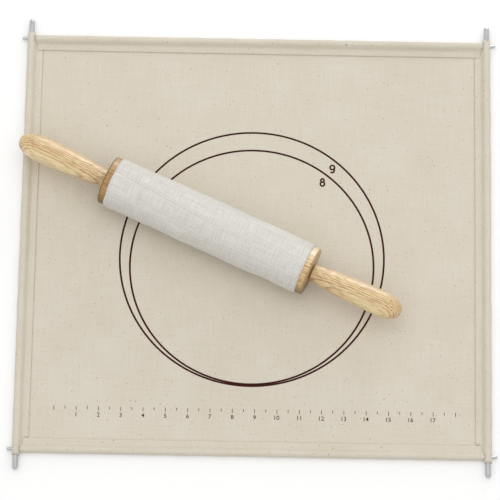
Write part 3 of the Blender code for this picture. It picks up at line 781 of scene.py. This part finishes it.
def turned_wood(name, heart, pale_sap_and_light, pale, warm, streak, pore, stains_and_painted_light, coat):
    """Wood whose grain runs along the pin. heart is the tree's middle, from the pin's axis, back and up.

    The sapwood tuple is how far from the heart the pale sapwood starts, where it is full, and its colour; on the
    handles that pale colour is partly painted light. Each stain is whether it is measured along the pin or from the
    heart, where it starts and is full, in mm, its share and its colour. Besides real stains, they hold painted shade
    and a painted highlight.
    """
    wood, shader = start_material(name, {"IOR": 1.5, "Coat Weight": coat, "Coat Roughness": 0.42})
    in_space = add(wood, "TexCoord").outputs["Object"]
    along_grain = add(
        wood,
        "Mapping",
        {"Vector": in_space, "Location": PIN, "Rotation": (0, 0, PIN_TURN)},
        vector_type="TEXTURE",
    ).outputs[0]

    def streaks(long, wide, detail):
        """Noise drawn out along the grain: each streak is about long by wide."""
        scaled = add(wood, "Mapping", {"Vector": along_grain, "Scale": (1 / long, 1 / wide, 1 / wide)})
        noisy = add(wood, "TexNoise", {"Vector": scaled.outputs[0], "Scale": 1.0, "Detail": detail})
        return noisy.outputs["Fac"]

    # Rings: the distance from the heart of the tree, made uneven by a slow sway.
    from_heart = add(wood, "VectorMath", {0: along_grain, 1: (0, *heart)}, operation="SUBTRACT")
    from_heart = add(wood, "VectorMath", {0: from_heart.outputs[0], 1: (0.02, 1, 1)}, operation="MULTIPLY")
    distance = add(wood, "VectorMath", {0: from_heart.outputs[0]}, operation="LENGTH").outputs["Value"]
    sway = streaks(160 * MM, 30 * MM, 1.0)
    swayed = add(wood, "Math", {0: sway, 1: RING_SWAY, 2: distance}, operation="MULTIPLY_ADD")
    rings = add(wood, "Math", {0: swayed.outputs[0], 1: RING_PITCH}, operation="DIVIDE")
    ring = add(wood, "Math", {0: rings.outputs[0]}, operation="FRACT").outputs[0]
    early = add(wood, "MapRange", {0: ring, 1: 0.42, 2: 0.08}, interpolation_type="SMOOTHSTEP").outputs[0]
    late = add(wood, "MapRange", {0: ring, 1: 0.3, 2: 1.0}, interpolation_type="SMOOTHSTEP").outputs[0]

    # Pores: a line of dark dashes in the early wood of each ring, and finer ones scattered everywhere.
    dashes = add(wood, "MapRange", {0: streaks(9 * MM, PORE_WIDTH, 1.0), 1: 0.36, 2: 0.52}).outputs[0]
    in_line = add(wood, "Math", {0: early, 1: dashes}, operation="MULTIPLY")
    scattered = streaks(18 * MM, PORE_WIDTH, 0.0)
    scattered = add(wood, "MapRange", {0: scattered, 1: 0.5, 2: 0.8, 4: 0.64}).outputs[0]

    # Sapwood: the outermost rings are paler, and their lines of pores are faint. So are those of the inner rings. On
    # the handles the pale sapwood is partly painted light, bounced up from the cloth onto their front flank.
    pale_sapwood_and_painted_light = add(wood, "MapRange", {0: distance, 1: pale_sap_and_light[0], 2: pale_sap_and_light[1], 4: 0.7}).outputs[0]
    open_pores = add(wood, "Math", {0: pale_sapwood_and_painted_light, 1: -1.05, 2: 1.0}, operation="MULTIPLY_ADD")
    in_line = add(wood, "Math", {0: in_line.outputs[0], 1: open_pores.outputs[0]}, operation="MULTIPLY")
    inner = add(wood, "MapRange", {0: distance, 1: INNER_RINGS, 2: OPEN_RINGS, 3: 0.4}).outputs[0]
    in_line = add(wood, "Math", {0: in_line.outputs[0], 1: inner}, operation="MULTIPLY")
    pores = add(wood, "Math", {0: in_line.outputs[0], 1: scattered}, operation="MAXIMUM").outputs[0]

    # Colour: pale wood, warmer late in each ring, streaked by the fibres, then stained, given its painted shade and
    # highlight, and flecked by the pores.
    fibres = streaks(40 * MM, 1.2 * MM, 3.0)
    warmth = add(wood, "Math", {0: late, 1: 0.3, 2: fibres}, operation="MULTIPLY_ADD")
    warmth = add(wood, "MapRange", {0: warmth.outputs[0], 1: 0.4, 2: 0.95}).outputs[0]
    patches = add(wood, "MapRange", {0: streaks(60 * MM, 7 * MM, 2.0), 1: 0.5, 2: 0.75, 4: 0.7}).outputs[0]
    place_along = add(wood, "SeparateXYZ", {0: along_grain}).outputs["X"]
    layers = [(warmth, warm), (patches, streak), (pale_sapwood_and_painted_light, pale_sap_and_light[2])]
    for along, start, stop, share, layer_colour in stains_and_painted_light:
        measure = place_along if along else distance
        reach = add(wood, "MapRange", {0: measure, 1: start * MM, 2: stop * MM, 4: share})
        layers.append((reach.outputs[0], layer_colour))
    ground = linear(pale)
    for share, colour in layers + [(pores, pore)]:
        mixed = add(wood, "Mix", {0: share, 6: ground, 7: linear(colour)}, data_type="RGBA")
        ground = mixed.outputs[2]

    rough = add(wood, "MapRange", {0: fibres, 1: 0.3, 2: 0.7, 3: 0.36, 4: 0.5})
    depth = add(wood, "Math", {0: pores, 1: -1.0}, operation="MULTIPLY")
    grain_bump = add(wood, "Bump", {"Height": depth.outputs[0], "Strength": 0.25, "Distance": 0.08 * MM})
    feed(wood, shader, colour=ground, roughness=rough.outputs[0], bump=grain_bump.outputs[0])
    return wood


def finish_node(node, material):
    """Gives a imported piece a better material, in the material slot that it already has."""
    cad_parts[node].material_slots[0].material = material
    print(node, "is now", material.name)


# %% Handles and roller
handle_wood = turned_wood(
    "oiled_turned_ash_handles",
    heart=(59 * MM, -27 * MM),
    # The pale sapwood on the front flank is partly painted light, bounced up from the cloth.
    pale_sap_and_light=(75.3 * MM, 80 * MM, "FDE9B9"),
    pale="F1DAA9",
    warm="DDB477",
    streak="CC9550",
    pore="8C540A",
    # Painted highlight: the inner rings on the back flank are lightened, which widens the shine there.
    stains_and_painted_light=((False, 66, 58, 0.3, "FFF0CC"),),
    coat=0.9,
)
roller_wood = turned_wood(
    "oiled_turned_beech_roller",
    heart=(-50 * MM, -60 * MM),
    pale_sap_and_light=(101 * MM, 107 * MM, "FCEFD2"),
    pale="FADDA6",
    warm="EABF80",
    streak="CD9A55",
    pore="6E4414",
    stains_and_painted_light=(
        (True, 125, -125, 0.72, "A06C10"),
        # Painted shade: the wood nearest the heart, on the roller's lower front, is darkened as the shade of its
        # underside.
        (False, 82, 64, 0.85, "5A4018"),
        # The end rims are darker: partly end grain that drank more oil, partly painted shade, most at the left rim.
        (True, -127.2, -128.7, 0.8, "5E4012"),
        (True, 127.2, 128.7, 0.4, "8A6226"),
    ),
    coat=0.4,
)
finish_node("left_handle", handle_wood)
finish_node("right_handle", handle_wood)
finish_node("roller", roller_wood)

# %% [markdown]
# ## Metal rods and nylon rings
#
# The frame's rods are steel wire, drawn through a die and then plated with zinc. Drawing leaves fine straight lines
# along the rod, and the plating dulls them to a soft blue-grey shine with faint cloudy spots. The lines follow each
# rod's own direction, so the side rods and the cross rods get the same recipe, turned. The axle is the same drawn
# steel left bright. The washers and bushes are moulded brown nylon, which is waxy and a little uneven, and
# makes the thin dark line where a handle meets the roller.

# %% Steel
LINE_LENGTH, LINE_WIDE = 40 * MM, 0.25 * MM
CLOUD_SIZE = 9 * MM


def drawn_steel(name, direction, tone_low, tone_high, roughness):
    """Drawn rod: fine lines along its own direction, and cloudy plating."""
    steel, shader = start_material(name, {"Metallic": 1.0})
    in_space = add(steel, "TexCoord").outputs["Object"]
    stretch = tuple(1 / (LINE_LENGTH if along else LINE_WIDE) for along in direction)
    lines = add(steel, "Mapping", {"Vector": in_space, "Scale": stretch})
    lines = add(steel, "TexNoise", {"Vector": lines.outputs[0], "Scale": 1.0, "Detail": 2.0}).outputs["Fac"]
    clouds = add(steel, "TexNoise", {"Vector": in_space, "Scale": 1 / CLOUD_SIZE, "Detail": 4.0}).outputs["Fac"]
    tone = add(steel, "Mix", {0: clouds, 6: linear(tone_low), 7: linear(tone_high)}, data_type="RGBA")
    rough = add(steel, "Math", {0: lines, 1: clouds}, operation="ADD")
    rough = add(steel, "MapRange", {0: rough.outputs[0], 1: 0.6, 2: 1.4, 3: roughness - 0.08, 4: roughness + 0.1})
    scratch = add(steel, "Bump", {"Height": lines, "Strength": 0.25, "Distance": 0.02 * MM})
    feed(steel, shader, colour=tone.outputs[2], roughness=rough.outputs[0], bump=scratch.outputs[0])
    return steel


side_rod_steel = drawn_steel("zinc_plated_drawn_steel_side_rods", (0, 1, 0), "A9ABAD", "C6C8CA", 0.34)
cross_rod_steel = drawn_steel("zinc_plated_drawn_steel_cross_rods", (1, 0, 0), "A9ABAD", "C6C8CA", 0.34)
axle_steel = drawn_steel("bright_drawn_steel_axle", (1, 0, 0), "B2B3B4", "CBCBCA", 0.26)
for label in ("left", "right"):
    finish_node(label + "_side_rod", side_rod_steel)
for label in ("front", "back"):
    finish_node(label + "_cross_rod", cross_rod_steel)
finish_node("axle", axle_steel)

# %% Nylon
MOTTLE_SIZE = 1.6 * MM

nylon, nylon_shader = start_material("moulded_brown_nylon", {"IOR": 1.53})
nylon_place = add(nylon, "TexCoord").outputs["Object"]
mottle = add(nylon, "TexNoise", {"Vector": nylon_place, "Scale": 1 / MOTTLE_SIZE, "Detail": 3.0}).outputs["Fac"]
nylon_tint = add(nylon, "Mix", {0: mottle, 6: linear("8A6C4A"), 7: linear("A5855E")}, data_type="RGBA")
nylon_rough = add(nylon, "MapRange", {0: mottle, 1: 0.3, 2: 0.7, 3: 0.36, 4: 0.5})
nylon_bump = add(nylon, "Bump", {"Height": mottle, "Strength": 0.2, "Distance": 0.03 * MM})
feed(nylon, nylon_shader, colour=nylon_tint.outputs[2], roughness=nylon_rough.outputs[0], bump=nylon_bump.outputs[0])
for node in ("left_bush", "right_bush", "left_washer", "right_washer"):
    finish_node(node, nylon)

# %% [markdown]
# ## The studio
#
# A catalogue picture is lit to be soft and bright on a white ground. The room gives most of the light: it shines
# from all sides, and most from above. A large lamp overhead gives the pin its lighter upper side, a small one behind
# it lights its far edge, and a third adds only gloss, the soft shine along the handles. The floor is a pale matt
# board. Where it is seen, also in metal or through glass, it glows a little, so that it comes out white where it is
# fully lit and still shows the object's soft shadow. The room is plain white where it is seen.

# %% Floor
FLOOR_HALF, FLOOR_DROP = 12.0, 0.2 * MM
BOARD_GLOW = 0.17

floor_shape = bmesh.new()
under = Matrix.Translation((0, 0, -FLOOR_DROP))
bmesh.ops.create_grid(floor_shape, x_segments=1, y_segments=1, size=FLOOR_HALF, matrix=under)
floor_mesh = bpy.data.meshes.new("floor")
floor_shape.to_mesh(floor_mesh)
floor_shape.free()
floor = bpy.data.objects.new("floor", floor_mesh)
bpy.context.scene.collection.objects.link(floor)

board, board_shader = start_material(
    "pale_matt_board",
    {"Base Color": linear("EDEDEC"), "Roughness": 0.95, "Emission Color": (1, 1, 1, 1)},
)


def is_seen(surroundings):
    """1 where the floor or the room is seen, also in metal or through glass, and 0 where it only gives light."""
    path = add(surroundings, "LightPath").outputs
    seen = path["Is Camera Ray"]
    for other in ("Is Glossy Ray", "Is Transmission Ray"):
        seen = add(surroundings, "Math", {0: seen, 1: path[other]}, operation="MAXIMUM").outputs[0]
    return seen


glow = add(board, "Math", {0: is_seen(board), 1: BOARD_GLOW}, operation="MULTIPLY")
board.node_tree.links.new(glow.outputs[0], board_shader.inputs["Emission Strength"])
floor_mesh.materials.append(board)
print("the floor is", 2 * FLOOR_HALF, "m wide")

# %% The room
BRIGHTEST_WAY = (0.0, 0.12, 0.99)  # nearly straight up
LOW_LIGHT, HIGH_LIGHT, FULL_FROM = 0.32, 1.05, 0.75

world = bpy.data.worlds.new("white_room")
world.use_nodes = True
bpy.context.scene.world = world
room = world.node_tree.nodes["Background"]
room.inputs["Color"].default_value = (1.0, 1.0, 1.0, 1.0)
direction = add(world, "TexCoord").outputs["Generated"]
upwards = add(world, "VectorMath", {0: direction, 1: BRIGHTEST_WAY}, operation="DOT_PRODUCT")
brightness = add(world, "MapRange", {0: upwards.outputs["Value"], 1: 0.0, 2: FULL_FROM, 3: LOW_LIGHT, 4: HIGH_LIGHT})
strength = add(world, "Mix", {0: is_seen(world), 2: brightness.outputs[0], 3: 1.0})
world.node_tree.links.new(strength.outputs[0], room.inputs["Strength"])
print("the room shines from", LOW_LIGHT, "at the sides to", HIGH_LIGHT, "above")

# %% The lamps
# Each lamp: its name, its place, what it points at, how wide and strong it is, and whether it lights matt surfaces.
LAMPS = (
    ("overhead_light", (-0.2, 0.35, 2.2), (0.0, 0.0, 0.0), 1.4, 3.0, True),
    ("back_light", (0.75, 1.9, 0.62), (-0.05, 0.0, 0.0), 0.45, 4.0, True),
    ("gloss_light", (0.52, 1.94, 0.62), (-0.05, 0.0, 0.0), 0.9, 13.0, False),
)
for name, spot, target, width, power, lights_matt in LAMPS:
    lamp = bpy.data.lights.new(name, "AREA")
    lamp.shape = "DISK"
    lamp.size = width
    lamp.energy = power
    holder = bpy.data.objects.new(name, lamp)
    holder.location = spot
    holder.rotation_mode = "QUATERNION"
    holder.rotation_quaternion = (Vector(target) - Vector(spot)).to_track_quat("-Z", "Y")
    holder.visible_diffuse = lights_matt
    bpy.context.scene.collection.objects.link(holder)
    print(name, "gives", power, "W from a disc", width, "m wide")

# %% [markdown]
# ## The camera
#
# The printed circles are true circles on the real cloth, so the ellipses they make in the picture tell where the
# camera stood: high in front, a little over 70 degrees above the table, far away with a long lens, and turned by one
# degree. The picture is square, so the lens follows from the sensor's width.

# %% Camera
AIM = Vector((-6.26 * MM, -6.09 * MM, 0.0))
ELEVATION, DISTANCE, ROLL = math.radians(73.3), 3.739, math.radians(1.03)
FOCAL_PIXELS, PICTURE_PIXELS = 3236, 500
SENSOR_WIDTH = 36.0  # mm

camera_data = bpy.data.cameras.new("camera")
camera_data.sensor_width = SENSOR_WIDTH
camera_data.lens = SENSOR_WIDTH * FOCAL_PIXELS / PICTURE_PIXELS
camera_data.clip_start, camera_data.clip_end = 0.1, 50.0
camera = bpy.data.objects.new("camera", camera_data)
back = Vector((0.0, -math.cos(ELEVATION), math.sin(ELEVATION)))
camera.location = AIM + back * DISTANCE
camera.rotation_mode = "QUATERNION"
camera.rotation_quaternion = (-back).to_track_quat("-Z", "Y") @ Quaternion((0, 0, 1), ROLL)
bpy.context.scene.collection.objects.link(camera)
bpy.context.scene.camera = camera
bpy.context.scene.view_settings.view_transform = "Standard"
print("lens", round(camera_data.lens, 1), "mm at", DISTANCE, "m")
